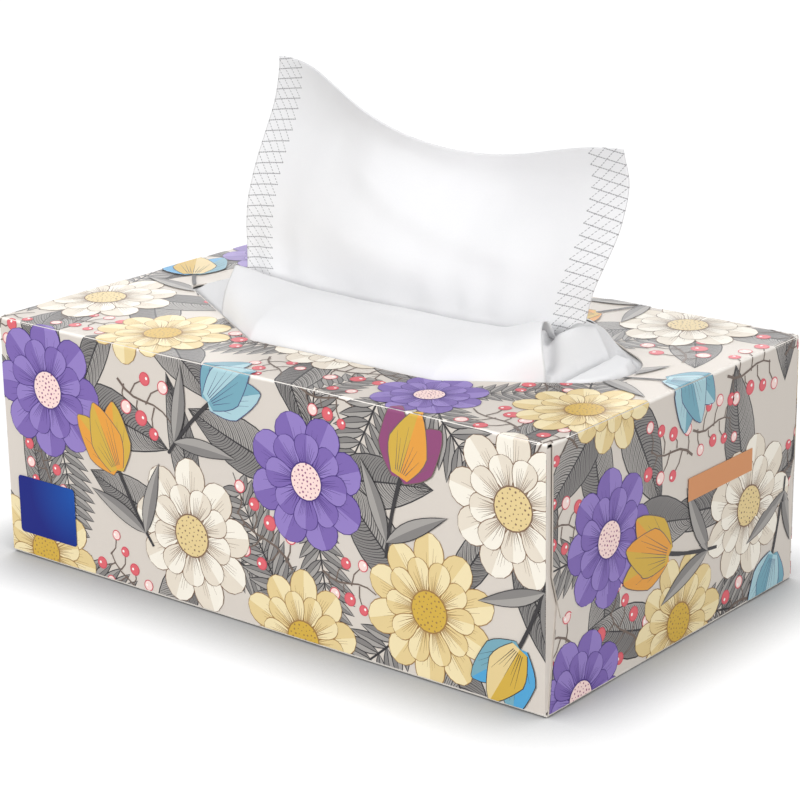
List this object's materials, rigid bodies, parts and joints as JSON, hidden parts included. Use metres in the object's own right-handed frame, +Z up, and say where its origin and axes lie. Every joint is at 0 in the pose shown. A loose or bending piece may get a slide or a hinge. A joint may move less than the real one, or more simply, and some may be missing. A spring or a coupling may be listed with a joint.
{
  "type": "tissue box",
  "caption": "Flat oblong facial-tissue carton, folded and glued from printed paperboard, with a long hexagonal mouth and a tissue pulled half way out of the interfolded stack.",
  "frame": {"origin": "middle of the underside of the carton, on the surface that it stands on", "axes": "+X along the box's length, -Y out of the long front panel, +Z up out of the mouth"},
  "size_m": [0.22, 0.134, 0.159],
  "materials": {
    "printed_board": "satin printed paperboard",
    "tissue_stack": "soft matte",
    "tissue": "soft matte, embossed borders"
  },
  "bodies": {
    "root": {"carton": "printed_board", "tissue_stack": "tissue_stack", "next_tissue": "tissue", "popup_tissue": "tissue"}
  },
  "joints": []
}
